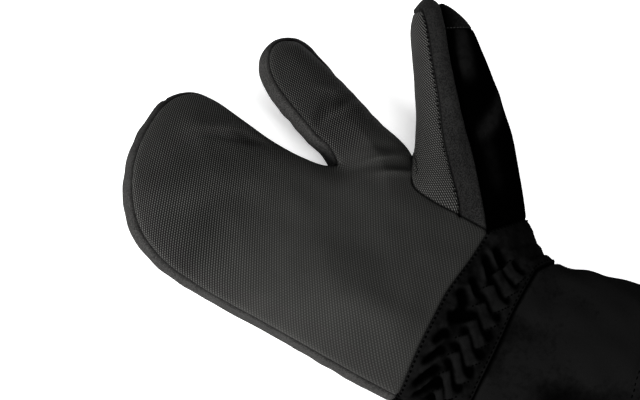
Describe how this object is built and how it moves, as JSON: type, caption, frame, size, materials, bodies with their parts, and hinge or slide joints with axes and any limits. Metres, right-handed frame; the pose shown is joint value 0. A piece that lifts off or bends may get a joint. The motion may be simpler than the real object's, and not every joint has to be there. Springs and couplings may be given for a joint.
{
  "type": "ski glove",
  "caption": "Right-hand padded ski glove with thumb, index finger and a mitt for the other fingers, textured palm, banded sides, gathered wrist and open gauntlet cuff.",
  "frame": {"origin": "on the flat of the back where the glove rests, under the middle of the palm", "axes": "+Y from the palm to the mitt's tip, +X to the thumb's side, +Z out of the palm"},
  "size_m": [0.2209, 0.3121, 0.064],
  "materials": {
    "grip_cloth": "matt, small raised squares",
    "suede": "matt, napped",
    "black_nylon": "fine weave, soft gloss"
  },
  "bodies": {
    "root": {"palm_panel": "grip_cloth", "back_panel": "black_nylon", "outer_side_wall": "suede", "mitt_inner_wall": "suede", "index_side_wall": "suede", "thumb_pad": "grip_cloth", "thumb_side_wall": "suede", "thumb_back": "black_nylon", "thumb_tip_patch": "suede", "wrist_gather": "black_nylon", "gauntlet": "black_nylon"}
  },
  "joints": []
}
